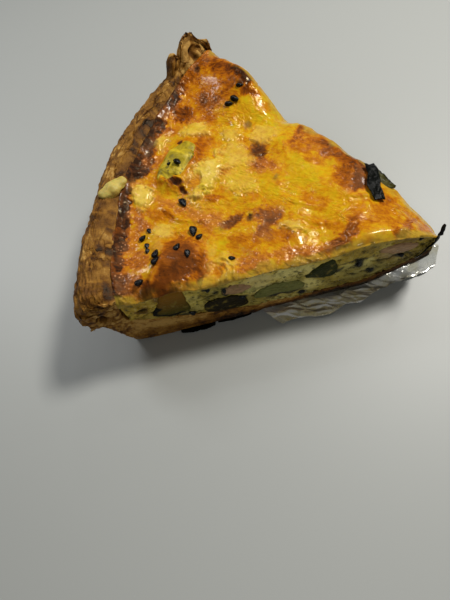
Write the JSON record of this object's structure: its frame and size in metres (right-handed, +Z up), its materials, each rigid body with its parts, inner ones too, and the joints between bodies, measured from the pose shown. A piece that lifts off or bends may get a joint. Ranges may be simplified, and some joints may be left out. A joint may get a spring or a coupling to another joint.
{
  "type": "quiche slice",
  "caption": "Cut slice of vegetable quiche: a flaky pastry base and rim, set filling with vegetable pieces in its cut faces, a browned cheese top with seeds, on a crumpled scrap of foil",
  "frame": {"origin": "Centre of the footprint of the whole slice, on the surface that it stands on.", "axes": "+Z up, the point of the slice towards +X, the crust rim towards -X, the cut face that the picture shows towards -Y."},
  "size_m": [0.1231, 0.1228, 0.0461],
  "materials": {
    "pastry": "baked flaky pastry, browned, dark at the rim",
    "custard": "set egg filling, moist, small bubbles",
    "cheese": "melted cheese, oily, browned in patches",
    "courgette": "cooked courgette, olive flesh, dark green skin",
    "aubergine": "cooked aubergine, dark and moist",
    "onion": "cooked onion, translucent pinkish grey",
    "pale_cheese": "dry baked cheese crumb",
    "charred": "charred leaf, oily black",
    "foil": "crumpled baking foil, greasy"
  },
  "bodies": {
    "root": {"crust": "pastry", "filling": "custard", "cheese_top": "cheese", "courgette_wedge": "courgette", "courgette_slice": "courgette", "courgette_end": "courgette", "courgette_far": "courgette", "courgette_far_slice": "courgette", "courgette_top": "courgette", "aubergine_slab": "aubergine", "aubergine_far": "aubergine", "onion_strip": "onion", "onion_strip_tip": "onion", "onion_far": "onion", "rim_cheese": "pale_cheese", "charred_leaf": "charred", "burnt_strip": "charred", "foil": "foil"}
  },
  "joints": []
}
